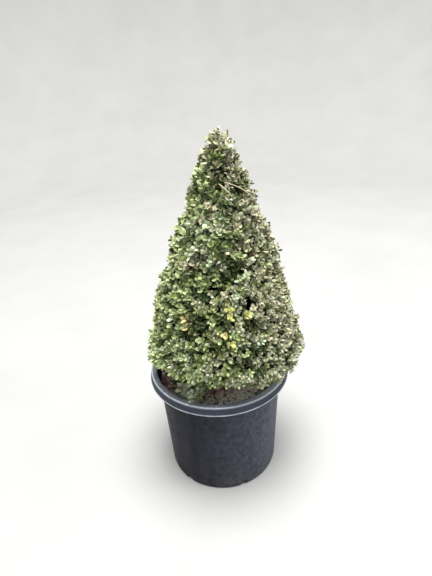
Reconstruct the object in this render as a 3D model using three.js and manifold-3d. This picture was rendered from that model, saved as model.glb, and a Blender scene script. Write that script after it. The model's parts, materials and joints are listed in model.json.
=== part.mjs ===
// A clipped boxwood cone growing in a round nursery pot.
// Millimetres, +Z up. The origin is the centre of the pot's flat underside, and the
// plant's front faces -Y.
import * as THREE from 'three';
import { mergeVertices } from 'three/addons/utils/BufferGeometryUtils.js';
import Module from 'manifold-3d';

const wasm = await Module();
wasm.setup();

// Driving dimensions of the pot
const POT_HEIGHT = 299;
const FOOT_RADIUS = 143.4;
const WALL_TOP_RADIUS = 155.7;
const WALL = 2.6;
const FLOOR = 3;
const LIP_INNER_RADIUS = 160;
const LIP_OUTER_RADIUS = 172;
const SKIRT_RADIUS = 176.7;
const SKIRT_BOTTOM = 277.5;
const SHOULDER_BELOW_LIP = 15;
const SHOULDER_STEP = 4.4;
const DRAIN_RADIUS = 10;
const DRAIN_LENGTH = 34;
const DRAIN_COUNT = 6;
const DRAIN_FIRST_AZIMUTH = -71;

// Driving dimensions of the soil and the woody parts
const SOIL_HEIGHT = 267;
const SOIL_BUMP = 3.5;
const STEM_FOOT = { x: 14, y: 2 };
const STEM_LEAN = 12;
const STEM_RADIUS = 13;
const STEM_SIDES = 12;
const STEM_TIP_RADIUS = 2.2;
const STEM_FLARE = 9;
const STEM_FLARE_HEIGHT = 9;
const STEM_TOP = 812;
const BOUGH_COUNT = 6;
const BOUGH_FIRST_AZIMUTH = 28;
const BOUGH_LEAVES_AT = 20;
const BOUGH_REACH = 78;
const BOUGH_SAG = 5;
const BOUGH_RADIUS = 6.5;
const BOUGH_TIP_RADIUS = 3.2;
const BOUGH_SOCKET = 10;

// Driving dimensions of the crown
const CROWN_BOTTOM = 312;
const CROWN_WIDEST = 354;
const CROWN_TOP = 856;
const CROWN_RADIUS = 188;
const CROWN_BLUNT = 60;
const CROWN_BOTTOM_RADIUS = 166;
const CROWN_HOLLOW = 12;
const CROWN_LIFT = 8;
const NOTCH = { azimuth: -147, spread: 20, rise: 32, from: 90 };
const CREASE_DEPTH = 6;
const CREASE_WIDTH = 17;

const GAP = 0.3;
const ROUND_SEGMENTS = 40;
const CROWN_SEGMENTS = 40;

const rad = THREE.MathUtils.degToRad;
const lerp = THREE.MathUtils.lerp;
const clamp01 = (t) => THREE.MathUtils.clamp(t, 0, 1);
const smooth = (t) => THREE.MathUtils.smoothstep(t, 0, 1);

// The plant stands a little right of the pot's centre and leans further that way as it rises.
function axisAt(z) {
  const t = clamp01((z - SOIL_HEIGHT) / (CROWN_TOP - SOIL_HEIGHT));
  const bend = Math.sin(Math.PI * t);
  return new THREE.Vector2(
    STEM_FOOT.x + STEM_LEAN * Math.pow(t, 0.6),
    STEM_FOOT.y - 3 * bend,
  );
}

// Solids from three.js geometry, and back again

function toManifold(geometry) {
  const bare = geometry.clone();
  bare.deleteAttribute('normal');
  bare.deleteAttribute('uv');
  const merged = mergeVertices(bare, 1e-4);
  const triangles = [];
  const index = merged.index.array;
  for (let i = 0; i < index.length; i += 3) {
    const [a, b, c] = [index[i], index[i + 1], index[i + 2]];
    if (a !== b && b !== c && c !== a) triangles.push(a, b, c);
  }
  return new wasm.Manifold(new wasm.Mesh({
    numProp: 3,
    vertProperties: new Float32Array(merged.attributes.position.array),
    triVerts: new Uint32Array(triangles),
  }));
}

function toGeometry(solid) {
  const mesh = solid.getMesh();
  const geometry = new THREE.BufferGeometry();
  geometry.setAttribute('position', new THREE.BufferAttribute(new Float32Array(mesh.vertProperties), 3));
  geometry.setIndex(new THREE.BufferAttribute(new Uint32Array(mesh.triVerts), 1));
  geometry.computeVertexNormals();
  return geometry;
}

// Revolves (radius, height) points about +Z.
function lathe(points, segments = ROUND_SEGMENTS) {
  const profile = points.map(([r, z]) => new THREE.Vector2(r, z));
  return new THREE.LatheGeometry(profile, segments).rotateX(Math.PI / 2);
}

// Moves each vertex of a geometry with a function of its place.
function reshape(geometry, move) {
  const position = geometry.attributes.position;
  const point = new THREE.Vector3();
  for (let i = 0; i < position.count; i += 1) {
    point.fromBufferAttribute(position, i);
    move(point);
    position.setXYZ(i, point.x, point.y, point.z);
  }
  return geometry;
}

// The pot

function wallRadiusAt(z) {
  return lerp(FOOT_RADIUS, WALL_TOP_RADIUS, z / SKIRT_BOTTOM);
}

// The wall and floor, up to the shoulder where the wall steps out under the rim.
function wallProfile() {
  const shoulder = POT_HEIGHT - SHOULDER_BELOW_LIP;
  const step = shoulder - SHOULDER_STEP;
  const inner = (z) => wallRadiusAt(z) - WALL;
  return [
    [0, 0],
    [FOOT_RADIUS - 6, 0],
    [FOOT_RADIUS - 2, 1.4],
    [FOOT_RADIUS, 5],
    [wallRadiusAt(step), step],
    [wallRadiusAt(step) + SHOULDER_STEP, shoulder],
    [inner(step) + SHOULDER_STEP, shoulder],
    [inner(step), step],
    [inner(FLOOR + 4), FLOOR + 4],
    [inner(FLOOR) - 4, FLOOR],
    [0, FLOOR],
  ];
}

// The rim: a neck on the shoulder, a flat lip and a skirt that hangs clear of the wall.
function rimProfile() {
  const lip = POT_HEIGHT;
  const foot = lip - SHOULDER_BELOW_LIP + GAP;
  const neck = wallRadiusAt(foot - SHOULDER_STEP) + SHOULDER_STEP;
  return [
    [neck - WALL, foot],
    [neck, foot],
    [LIP_INNER_RADIUS + WALL - 0.4, lip - WALL - 0.8],
    [LIP_OUTER_RADIUS - WALL, lip - WALL - 0.4],
    [SKIRT_RADIUS - WALL - 0.4, SKIRT_BOTTOM + 1],
    [SKIRT_RADIUS - 1.6, SKIRT_BOTTOM],
    [SKIRT_RADIUS, SKIRT_BOTTOM + 1.4],
    [SKIRT_RADIUS - 1, SKIRT_BOTTOM + 5],
    [LIP_OUTER_RADIUS + 0.8, lip - 3],
    [LIP_OUTER_RADIUS - 1, lip],
    [LIP_INNER_RADIUS + 1.4, lip],
    [LIP_INNER_RADIUS - 0.2, lip - 1.6],
    [neck - WALL, foot],
  ];
}

function drainHole(azimuth) {
  const hole = new THREE.CylinderGeometry(DRAIN_RADIUS, DRAIN_RADIUS, DRAIN_LENGTH, 14);
  hole.translate(0, FOOT_RADIUS - 4, 0);
  hole.rotateZ(rad(azimuth - 90));
  return hole.translate(0, 0, DRAIN_RADIUS * 0.5);
}

function potWall() {
  let solid = toManifold(lathe(wallProfile()));
  for (let i = 0; i < DRAIN_COUNT; i += 1) {
    const azimuth = DRAIN_FIRST_AZIMUTH + (360 / DRAIN_COUNT) * i;
    solid = solid.subtract(toManifold(drainHole(azimuth)));
  }
  return solid;
}

// The root ball, which fills the pot up to the bark mulch

function soilBump(x, y) {
  const away = Math.hypot(x - STEM_FOOT.x, y - STEM_FOOT.y);
  const calm = smooth((away - 34) / 30);
  return calm * SOIL_BUMP * (
    0.5 * Math.sin(x / 15 + y / 31 + 0.6)
    + 0.5 * Math.sin(y / 13 - x / 37 + 2.2)
  );
}

function rootBall() {
  const side = (z) => wallRadiusAt(z) - WALL - GAP / Math.cos(Math.PI / ROUND_SEGMENTS);
  const edge = side(SOIL_HEIGHT);
  const points = [
    [0, FLOOR + GAP],
    [side(FLOOR) - 5, FLOOR + GAP],
    [side(FLOOR + 6), FLOOR + 6],
    [edge, SOIL_HEIGHT],
  ];
  const rings = 8;
  for (let ring = rings - 1; ring >= 0; ring -= 1) {
    points.push([edge * ring / rings, SOIL_HEIGHT]);
  }
  const geometry = reshape(lathe(points), (p) => {
    if (p.z > SOIL_HEIGHT - 1 && Math.hypot(p.x, p.y) < edge - 1) p.z += soilBump(p.x, p.y);
  });
  return toManifold(geometry);
}

// Woody limbs

// Carries a cylinder along a curve, with its radius from a function of the share of the way.
function limb(curve, radiusAt, sides, steps) {
  const geometry = new THREE.CylinderGeometry(1, 1, 1, sides, steps);
  const centre = new THREE.Vector3();
  const along = new THREE.Vector3();
  const across = new THREE.Vector3();
  const side = new THREE.Vector3();
  return reshape(geometry, (p) => {
    const t = clamp01(p.y + 0.5);
    curve.getPoint(t, centre);
    curve.getTangent(t, along);
    across.set(0, 1, 0).cross(along).normalize();
    side.crossVectors(along, across).normalize();
    const angle = Math.atan2(p.z, p.x);
    const radius = Math.hypot(p.x, p.z) * radiusAt(t);
    p.copy(centre);
    p.addScaledVector(across, -radius * Math.cos(angle));
    p.addScaledVector(side, radius * Math.sin(angle));
  });
}

// The stem: flat foot on the soil, root flare in four ridges, taper to the leader's tip.
function stemRadiusAt(z, angle) {
  const t = clamp01((z - SOIL_HEIGHT) / (STEM_TOP - SOIL_HEIGHT));
  const flare = Math.exp(-(z - SOIL_HEIGHT) / STEM_FLARE_HEIGHT);
  const ridges = 1 + 0.28 * Math.sin(4 * angle + 0.7);
  return STEM_RADIUS * Math.pow(1 - t, 0.8) + STEM_TIP_RADIUS + STEM_FLARE * flare * ridges;
}

function stem(extra = 0) {
  const foot = SOIL_HEIGHT + GAP - extra;
  const rings = 16;
  const points = [[0, foot]];
  for (let i = 0; i <= rings; i += 1) {
    const z = lerp(foot, STEM_TOP + extra, Math.pow(i / rings, 1.7));
    points.push([1, z]);
  }
  points.push([0, STEM_TOP + extra]);
  const geometry = reshape(lathe(points, STEM_SIDES), (p) => {
    const axis = axisAt(p.z);
    const angle = Math.atan2(p.y, p.x);
    const radius = Math.hypot(p.x, p.y) * (stemRadiusAt(p.z, angle) + extra);
    p.x = axis.x + radius * Math.cos(angle);
    p.y = axis.y + radius * Math.sin(angle);
  });
  return toManifold(geometry);
}

// Boughs leave the stem just above the soil and climb into the skirt of the crown.
function bough(number, extra = 0) {
  const spread = 9 * Math.sin(number * 2.3);
  const azimuth = rad(BOUGH_FIRST_AZIMUTH + (360 / BOUGH_COUNT) * number + spread);
  const leave = SOIL_HEIGHT + BOUGH_LEAVES_AT + 7 * (number % 2);
  const reach = BOUGH_REACH + 12 * Math.sin(number * 1.9 + 0.8);
  const outward = new THREE.Vector3(Math.cos(azimuth), Math.sin(azimuth), 0);
  const axis = axisAt(leave);
  const start = new THREE.Vector3(axis.x, axis.y, leave).addScaledVector(outward, 6);
  const end = new THREE.Vector3(axis.x, axis.y, 0).addScaledVector(outward, reach);
  end.z = undersideAt(reach) + BOUGH_SOCKET + CROWN_LIFT;
  const elbow = start.clone().lerp(end, 0.5);
  elbow.z -= BOUGH_SAG;
  end.addScaledVector(end.clone().sub(elbow).normalize(), extra);
  const curve = new THREE.QuadraticBezierCurve3(start, elbow, end);
  return toManifold(limb(curve, (t) => lerp(BOUGH_RADIUS, BOUGH_TIP_RADIUS, t) + extra, 8, 5));
}

// The crown

function undersideAt(radius) {
  return CROWN_BOTTOM + CROWN_HOLLOW * (1 - smooth(radius / CROWN_BOTTOM_RADIUS));
}

// The lower edge rises in three shallow arches, one of them at the front.
function archAt(angle) {
  return CROWN_LIFT * (0.8 + Math.cos(3 * (angle + Math.PI / 2)));
}

// At the front left the lower edge is clipped higher, and the soil shows under it.
function notchAt(angle, base) {
  const aside = Math.acos(Math.cos(angle - rad(NOTCH.azimuth)));
  const outer = smooth((base - NOTCH.from) / (CROWN_BOTTOM_RADIUS - NOTCH.from));
  return NOTCH.rise * outer * Math.exp(-Math.pow(aside / rad(NOTCH.spread), 2));
}

// Half the clipped outline: a cone with slightly bowed sides, blunt near its top.
function outlineRadiusAt(z) {
  const t = clamp01((z - CROWN_WIDEST) / (CROWN_TOP - CROWN_WIDEST));
  const cone = CROWN_RADIUS * Math.pow(1 - Math.pow(t, 1.2), 0.8);
  return cone + CROWN_BLUNT * Math.pow(t, 9) * Math.sqrt(1 - t);
}

function crownProfile() {
  const points = [[0, undersideAt(0)]];
  for (const part of [0.35, 0.7, 0.92]) {
    const r = CROWN_BOTTOM_RADIUS * part;
    points.push([r, undersideAt(r)]);
  }
  const belly = 3;
  for (let i = 0; i <= belly; i += 1) {
    const turn = (Math.PI / 2) * (i / belly);
    points.push([
      lerp(CROWN_BOTTOM_RADIUS, CROWN_RADIUS, Math.sin(turn)),
      lerp(CROWN_BOTTOM + 5, CROWN_WIDEST, 1 - Math.cos(turn)),
    ]);
  }
  const rows = 17;
  for (let i = 1; i < rows; i += 1) {
    const t = 1 - Math.pow(1 - i / rows, 1.15);
    const z = lerp(CROWN_WIDEST, CROWN_TOP, t);
    points.push([outlineRadiusAt(z), z]);
  }
  points.push([0, CROWN_TOP]);
  return points;
}

// Long soft waves in the clipped surface, as a share of the radius.
function unevenness(angle, z) {
  return 0.020 * Math.sin(2 * angle + z / 90 + 0.4)
    + 0.018 * Math.sin(3 * angle - z / 55 + 1.9)
    + 0.014 * Math.sin(5 * angle + z / 38 + 4.1)
    + 0.010 * Math.sin(9 * angle - z / 24 + 0.8);
}

// Each tier of masses is parted from the next by a tilted plane through the stem.
const TIER_PLANES = [
  { height: 436, tilt: 8, towards: 205 },
  { height: 572, tilt: 9, towards: 30 },
  { height: 704, tilt: 8, towards: 250 },
];

// Within a tier, upright planes at these azimuths part its masses.
const TIERS = [
  { names: ['skirt_front_right', 'skirt_right', 'skirt_back', 'skirt_left'], from: [-100, -30, 60, 140] },
  { names: ['flank_right', 'flank_back', 'flank_left'], from: [-75, 55, 130] },
  { names: ['shoulder_front', 'shoulder_right', 'shoulder_left'], from: [-150, -30, 90] },
  { names: ['crown_tip'], from: [0] },
];

function tierPlane({ height, tilt, towards }) {
  const lean = rad(tilt);
  const azimuth = rad(towards);
  const axis = axisAt(height);
  const normal = new THREE.Vector3(
    Math.sin(lean) * Math.cos(azimuth),
    Math.sin(lean) * Math.sin(azimuth),
    Math.cos(lean),
  );
  return new THREE.Plane().setFromNormalAndCoplanarPoint(normal, new THREE.Vector3(axis.x, axis.y, height));
}

const tierPlanes = TIER_PLANES.map(tierPlane);

// The upright plane from the stem outwards at an azimuth, facing larger azimuths.
function sectorPlane(azimuth, height) {
  const angle = rad(azimuth);
  const axis = axisAt(height);
  const normal = new THREE.Vector3(-Math.sin(angle), Math.cos(angle), 0);
  return new THREE.Plane().setFromNormalAndCoplanarPoint(normal, new THREE.Vector3(axis.x, axis.y, 0));
}

function tierMiddle(tier) {
  const low = tier === 0 ? CROWN_BOTTOM : TIER_PLANES[tier - 1].height;
  const high = tier === TIER_PLANES.length ? CROWN_TOP : TIER_PLANES[tier].height;
  return (low + high) / 2;
}

function sectorAzimuths(tier) {
  const { names, from } = TIERS[tier];
  return names.map((name, i) => ({ name, from: from[i], to: from[i + 1] ?? from[0] + 360 }));
}

// How deep the surface is creased at a point, where two masses meet.
function creaseAt(point) {
  let nearest = Infinity;
  let tier = 0;
  for (const plane of tierPlanes) {
    const distance = plane.distanceToPoint(point);
    nearest = Math.min(nearest, Math.abs(distance));
    if (distance > 0) tier += 1;
  }
  if (TIERS[tier].names.length > 1) {
    for (const { from } of sectorAzimuths(tier)) {
      const plane = sectorPlane(from, tierMiddle(tier));
      const angle = rad(from);
      const ahead = point.x * Math.cos(angle) + point.y * Math.sin(angle);
      if (ahead > 0) nearest = Math.min(nearest, Math.abs(plane.distanceToPoint(point)));
    }
  }
  return CREASE_DEPTH * Math.exp(-Math.pow(nearest / CREASE_WIDTH, 2));
}

function wholeCrown() {
  const geometry = reshape(lathe(crownProfile(), CROWN_SEGMENTS), (p) => {
    const axis = axisAt(p.z);
    const angle = Math.atan2(p.y, p.x);
    const base = Math.hypot(p.x, p.y);
    const place = new THREE.Vector3(axis.x + p.x, axis.y + p.y, p.z);
    const share = clamp01(base / 30);
    const radius = base * (1 + unevenness(angle, p.z)) - share * creaseAt(place);
    const low = 1 - smooth((p.z - CROWN_BOTTOM) / (CROWN_WIDEST - CROWN_BOTTOM));
    p.z += low * (smooth(base / CROWN_BOTTOM_RADIUS) * archAt(angle) + notchAt(angle, base));
    p.x = axis.x + radius * Math.cos(angle);
    p.y = axis.y + radius * Math.sin(angle);
  });
  return toManifold(geometry);
}

// Keeps the part of a solid that lies more than half a gap beyond a plane.
function beyond(solid, plane) {
  const n = plane.normal;
  return solid.trimByPlane([n.x, n.y, n.z], -plane.constant + GAP / 2);
}

function crownMasses(crown) {
  const masses = [];
  TIERS.forEach(({ names }, tier) => {
    let slab = crown;
    if (tier > 0) slab = beyond(slab, tierPlanes[tier - 1]);
    if (tier < tierPlanes.length) slab = beyond(slab, tierPlanes[tier].clone().negate());
    if (names.length === 1) {
      masses.push({ name: names[0], solid: slab });
      return;
    }
    const middle = tierMiddle(tier);
    for (const { name, from, to } of sectorAzimuths(tier)) {
      const wedge = beyond(slab, sectorPlane(from, middle));
      masses.push({ name, solid: beyond(wedge, sectorPlane(to, middle).negate()) });
    }
  });
  return masses;
}

// A low spray at the front left, which hangs from the skirt over the pot's inner edge.
const SPRAY = { azimuth: -126, distance: 112, height: 306, across: 40, outward: 33, drop: 22 };

function lowSpray(crown) {
  const geometry = new THREE.SphereGeometry(1, 18, 12);
  reshape(geometry, (p) => {
    const rough = 1 + 0.07 * Math.sin(5 * p.x + 4 * p.y + 1) + 0.05 * Math.sin(7 * p.y - 6 * p.z);
    p.set(SPRAY.outward * p.x, SPRAY.across * p.y, SPRAY.drop * p.z).multiplyScalar(rough);
  });
  geometry.rotateY(rad(12));
  geometry.translate(SPRAY.distance, 0, SPRAY.height);
  geometry.rotateZ(rad(SPRAY.azimuth));
  return toManifold(geometry).subtract(crown.translate([0, 0, -GAP]));
}

// Materials

const MATERIALS = {
  pot: { color: 0x1d1f21, roughness: 0.55 },
  soil: { color: 0x3a2a20, roughness: 0.95 },
  bark: { color: 0x7a6a52, roughness: 0.9 },
  leaves: { color: 0x5a6b3c, roughness: 0.6 },
};

const topiary = new THREE.Group();

function add(name, solid, material) {
  const mesh = new THREE.Mesh(
    toGeometry(solid),
    new THREE.MeshStandardMaterial({ ...MATERIALS[material], metalness: 0 }),
  );
  mesh.name = name;
  topiary.add(mesh);
}

function build() {
  add('pot_wall', potWall(), 'pot');
  add('pot_rim', toManifold(lathe(rimProfile())), 'pot');
  add('root_ball', rootBall(), 'soil');
  add('stem', stem(), 'bark');

  const boughNumbers = [...Array(BOUGH_COUNT).keys()];
  const stemRoom = stem(GAP);
  let limbRoom = stemRoom;
  for (const number of boughNumbers) {
    add(`bough_${number + 1}`, bough(number).subtract(stemRoom), 'bark');
    limbRoom = limbRoom.add(bough(number, GAP));
  }

  const crown = wholeCrown();
  for (const { name, solid } of crownMasses(crown)) {
    add(name, solid.subtract(limbRoom), 'leaves');
  }
  add('low_spray', lowSpray(crown).subtract(limbRoom), 'leaves');
}

build();

export default topiary;
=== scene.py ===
"""Looks of a clipped boxwood cone in its nursery pot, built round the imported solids. Metres, +Z up."""

import json
import math

import bmesh
import bpy
import numpy as np
from mathutils import Matrix, Vector
from mathutils.bvhtree import BVHTree


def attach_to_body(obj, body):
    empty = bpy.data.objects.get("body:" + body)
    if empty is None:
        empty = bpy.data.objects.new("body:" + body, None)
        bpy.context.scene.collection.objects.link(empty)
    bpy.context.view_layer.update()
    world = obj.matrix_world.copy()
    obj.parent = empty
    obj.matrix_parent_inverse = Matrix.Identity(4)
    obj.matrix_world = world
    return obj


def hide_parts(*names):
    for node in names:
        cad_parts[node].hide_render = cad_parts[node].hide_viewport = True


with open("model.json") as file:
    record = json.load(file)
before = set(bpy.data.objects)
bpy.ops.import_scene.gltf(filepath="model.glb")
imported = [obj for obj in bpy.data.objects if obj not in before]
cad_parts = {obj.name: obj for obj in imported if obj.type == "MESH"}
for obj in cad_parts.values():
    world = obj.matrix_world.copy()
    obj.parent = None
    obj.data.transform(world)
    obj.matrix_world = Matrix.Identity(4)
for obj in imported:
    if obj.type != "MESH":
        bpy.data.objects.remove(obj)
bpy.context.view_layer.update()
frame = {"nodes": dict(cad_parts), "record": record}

SEED = 6
rng = np.random.default_rng(SEED)

# The camera, as the photograph was taken: a little above the plant and rolled slightly
PHOTO_HEIGHT = 576
FOCAL_PIXELS = 433
SENSOR = 36
CAMERA_PLACE = (0.0056, -0.9098, 0.9754)
CAMERA_PITCH = 26.99
CAMERA_YAW = 0.08
CAMERA_ROLL = 3.41
LIGHTS_AIM = (0, 0, 0.4)

# The pot, whose heights and radii repeat the real container's
POT_HEIGHT = 0.299
POT_FOOT_RADIUS = 0.1434
POT_WALL_TOP_RADIUS = 0.1557
POT_WALL = 0.0026
POT_FLOOR = 0.003
LIP_INNER_RADIUS = 0.1585
LIP_OUTER_RADIUS = 0.172
SKIRT_RADIUS = 0.1767
SKIRT_BOTTOM = 0.2775
DRAIN_RADIUS = 0.010
DRAIN_COUNT = 6
DRAIN_DEPTH = 0.034
DRAIN_INSET = 0.004
DRAIN_RISE = 0.005
DRAIN_FIRST_AZIMUTH = -71
POT_SEGMENTS = 192
SOIL_HEIGHT = 0.267
SOIL_RINGS = 40
SOIL_SEGMENTS = 96
STEM_FOOT = (0.014, 0.002)

# Sprays and their leaves
SPRAY_SPACING = 0.0096
SPRAY_COUNT = 3200
SPRAY_CLEARANCE = 0.006
LEAFY_LENGTH = 0.052
PAIR_SPACING = 0.0054
LEAF_LENGTH = 0.0150
LEAF_WIDTH_SHARE = 0.62
LEAF_ROUGHNESS = 0.52
LEAF_GLOSS = 0.19
# Degrees that leaves stand off the shoot's end, and how many more further in
LEAF_SPLAY = 38
INNER_SPLAY = 34
# How much shorter the youngest leaves are
YOUNG_LOSS = 0.35
# Shares of the leafy length where the darkest leaves start, dark partly as painted shade, and where the
# yellowed ones stop
SHADE_FROM = 0.62
YELLOW_UNTIL = 0.25

# The crown's lower edge: higher in front, with an arch at the front left
EDGE_RISE = 0.016
NOTCH_AZIMUTH = -131
NOTCH_SPREAD = 20
NOTCH_RISE = 0.020

# How much taller the crown is right of its peak
PEAK_FILL = 0.013

# How far the sprays draw in under the clipped surface, and the share that stands proud instead
POCKET_DEPTH = 0.016
UNDERSIDE_DEPTH = 0.016
HIGH_DEPTH = 0.005
PROUD_SHARE = 0.05

# The low spray, drawn in from the sides and filled out over the lip
LOW_SPRAY_X = -0.085
LOW_SPRAY_PINCH = 0.25
LOW_SPRAY_SWELL = 0.020
LOW_SPRAY_LIFT = 0.004

# Bare twigs that lie on the leaves near the top, each limb as start, middle and end
BARE_TWIGS = (
    ((0.034, -0.046, 0.770), (0.094, -0.070, 0.757), (0.105, -0.038, 0.702)),
    ((0.074, -0.056, 0.753), (0.085, -0.054, 0.752), (0.097, -0.046, 0.742)),
    ((0.022, -0.048, 0.768), (0.034, -0.068, 0.764), (0.046, -0.070, 0.748)),
)

SLOTS = {part["node"]: part["material_slot"] for part in frame["record"]["subparts"]}
MASSES = [node for node, slot in SLOTS.items() if slot == "leaves"]
LIMBS = [node for node, slot in SLOTS.items() if slot == "bark"]
BOUGHS = [node for node in LIMBS if node.startswith("bough")]


# Small helpers

def unit(v):
    """Vectors along the last axis, made one long."""
    return v / np.maximum(np.linalg.norm(v, axis=-1, keepdims=True), 1e-12)


def ease(low, high, x):
    """Runs gently from nothing to one as x goes from low to high."""
    t = np.clip((x - low) / (high - low), 0.0, 1.0)
    return t * t * (3 - 2 * t)


def belt(z, low, high):
    """One between two heights, falling to nothing over a short way on either side."""
    soft = 0.02
    return ease(low - soft, low, z) * (1 - ease(high, high + soft, z))


WAVE_COUNT = 7
WAVE_PEAK = 3.2


def waves(points, size, seed):
    """A smooth field from -1 to 1 over points, with bumps about size apart."""
    own = np.random.default_rng(seed)
    total = np.zeros(len(points))
    for _ in range(WAVE_COUNT):
        direction = unit(own.normal(size=3))
        scale = own.uniform(0.75, 1.35)
        total += np.sin(points @ direction * (math.tau / (size * scale)) + own.uniform(0, math.tau))
    return np.clip(total / WAVE_PEAK, -1, 1)


def link(name, data):
    made = bpy.data.objects.new(name, data)
    bpy.context.scene.collection.objects.link(made)
    return made


def new_object(name, mesh, material):
    mesh.materials.append(material)
    return link(name, mesh)


def mesh_from_arrays(name, vertices, faces, smooth=True):
    """A mesh from an array of places and an array of faces that all have the same number of corners."""
    corners = faces.shape[1]
    mesh = bpy.data.meshes.new(name)
    mesh.vertices.add(len(vertices))
    mesh.vertices.foreach_set("co", np.asarray(vertices, np.float32).ravel())
    mesh.loops.add(faces.size)
    mesh.loops.foreach_set("vertex_index", np.asarray(faces, np.int32).ravel())
    mesh.polygons.add(len(faces))
    mesh.polygons.foreach_set("loop_start", np.arange(0, faces.size, corners, dtype=np.int32))
    mesh.polygons.foreach_set("loop_total", np.full(len(faces), corners, np.int32))
    mesh.polygons.foreach_set("use_smooth", np.full(len(faces), smooth))
    mesh.update(calc_edges=True)
    mesh.validate()
    return mesh


def settle(piece, slot, *nodes):
    """The piece rides on the one body and stands for its CAD nodes; its slot is not used."""
    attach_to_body(piece, "root")
    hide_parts(*nodes)


# Materials

class Paint:
    """A node material, built a node at a time round one Principled shader."""

    def __init__(self, name, roughness, specular):
        self.material = bpy.data.materials.new(name)
        self.material.use_nodes = True
        self.tree = self.material.node_tree
        self.shader = self.tree.nodes["Principled BSDF"]
        self.shader.inputs["Roughness"].default_value = roughness
        self.shader.inputs["Specular IOR Level"].default_value = specular
        self.place = self.tree.nodes.new("ShaderNodeTexCoord").outputs["Object"]

    def node(self, kind, inputs, **settings):
        made = self.tree.nodes.new(kind)
        for key, value in settings.items():
            setattr(made, key, value)
        for key, value in inputs.items():
            if isinstance(value, bpy.types.NodeSocket):
                self.tree.links.new(value, made.inputs[key])
            else:
                made.inputs[key].default_value = value
        return made

    def noise(self, scale, detail=3.0, roughness=0.55, stretch=None):
        place = self.place
        if stretch:
            place = self.node("ShaderNodeMapping", {"Vector": place, "Scale": stretch}).outputs[0]
        made = self.node("ShaderNodeTexNoise", {
            "Vector": place, "Scale": scale, "Detail": detail, "Roughness": roughness})
        return made.outputs["Fac"]

    def ramp(self, value, stops):
        made = self.node("ShaderNodeValToRGB", {"Fac": value})
        slots = made.color_ramp.elements
        while len(slots) < len(stops):
            slots.new(0.5)
        for slot, (position, colour) in zip(slots, stops):
            slot.position = position
            slot.color = (*colour, 1.0)
        return made.outputs["Color"]

    def math(self, kind, a, b=None):
        inputs = {0: a} if b is None else {0: a, 1: b}
        return self.node("ShaderNodeMath", inputs, operation=kind).outputs[0]

    def mix(self, share, a, b):
        a, b = (v if isinstance(v, bpy.types.NodeSocket) else (*v, 1.0) for v in (a, b))
        return self.node("ShaderNodeMix", {0: share, 6: a, 7: b}, data_type="RGBA").outputs[2]

    def product(self, *values):
        total = values[0]
        for value in values[1:]:
            total = self.math("MULTIPLY", total, value)
        return total

    def fade(self, value, start, end, first=0.0):
        """Runs from first to one as the value goes from start to end."""
        ends = {"Value": value, "From Min": start, "From Max": end, "To Min": first}
        return self.node("ShaderNodeMapRange", ends, clamp=True).outputs[0]

    def band(self, value, low, high, soft):
        """One between low and high, fading out over soft."""
        return self.product(self.fade(value, low - soft, low), self.fade(value, high + soft, high))

    def colour(self, value):
        self.tree.links.new(value, self.shader.inputs["Base Color"])

    def rough(self, value):
        self.tree.links.new(value, self.shader.inputs["Roughness"])

    def bump(self, height, distance, strength):
        made = self.node("ShaderNodeBump", {"Height": height, "Distance": distance, "Strength": strength})
        self.tree.links.new(made.outputs["Normal"], self.shader.inputs["Normal"])


def shades(colour, by):
    """A darker and a lighter shade of a colour."""
    return tuple(c * (1 - by) for c in colour), tuple(min(c * (1 + by), 1) for c in colour)


def leaf_material(name, colour, roughness=LEAF_ROUGHNESS, specular=LEAF_GLOSS):
    """A waxy leaf, lighter and darker in places."""
    paint = Paint(name, roughness, specular)
    dark, light = shades(colour, 0.30)
    paint.colour(paint.ramp(paint.noise(160, detail=2), [(0.32, dark), (0.68, light)]))
    paint.bump(paint.noise(700, detail=1), 0.0004, 0.5)
    return paint.material


def bark_material(name, dark, light, grain=1.0):
    """Bark with lengthwise fissures, finer as grain rises."""
    paint = Paint(name, roughness=0.85, specular=0.25)
    fissures = paint.noise(120 * grain, detail=5, stretch=(1.0, 1.0, 0.25))
    patches = paint.noise(38 * grain)
    base = paint.ramp(fissures, [(0.35, dark), (0.62, light)])
    paint.colour(paint.mix(patches, base, shades(light, 0.25)[0]))
    paint.bump(fissures, 0.0012, 0.8)
    return paint.material


def mulch_material(name, dark, light):
    """Rough crumbs and splinters between two colours."""
    paint = Paint(name, roughness=0.92, specular=0.2)
    grain = paint.noise(260, detail=5)
    blotch = paint.noise(60)
    base = paint.ramp(grain, [(0.3, dark), (0.7, light)])
    paint.colour(paint.mix(blotch, base, shades(dark, 0.2)[0]))
    paint.bump(grain, 0.0015, 0.9)
    return paint.material


# Plain colours of the pot's plastic and of what lies on it, with some painted light and shade
PLASTIC = (0.003, 0.003, 0.006), (0.014, 0.015, 0.024)
# Pale haze on the wall: partly dust, partly painted light on the lit right side
HAZE_AND_LIGHT = (0.122, 0.137, 0.180)
FLECK = (0.20, 0.21, 0.25)
LOW_DUST = (0.115, 0.10, 0.085)
# The skirt's paler grey: partly dust, partly painted light on its upward-facing band
SKIRT_DUST_AND_LIGHT = (0.054, 0.066, 0.092)
LIP_GRIME = (0.225, 0.250, 0.295)
LIP_DUST = (0.42, 0.45, 0.49)
# Bright lines along the lip's and the skirt's outer edges: partly rubbed plastic, partly painted highlights
UPPER_RUB_AND_HIGHLIGHT = (0.50, 0.53, 0.59)
LOWER_RUB_AND_HIGHLIGHT = (0.48, 0.50, 0.55)


def noise_share(paint, noise, start, end, low=0.0):
    """A share that rises with a noise, from low at start to one at end."""
    return paint.ramp(noise, [(start, (low, low, low)), (end, (1.0, 1.0, 1.0))])


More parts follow.
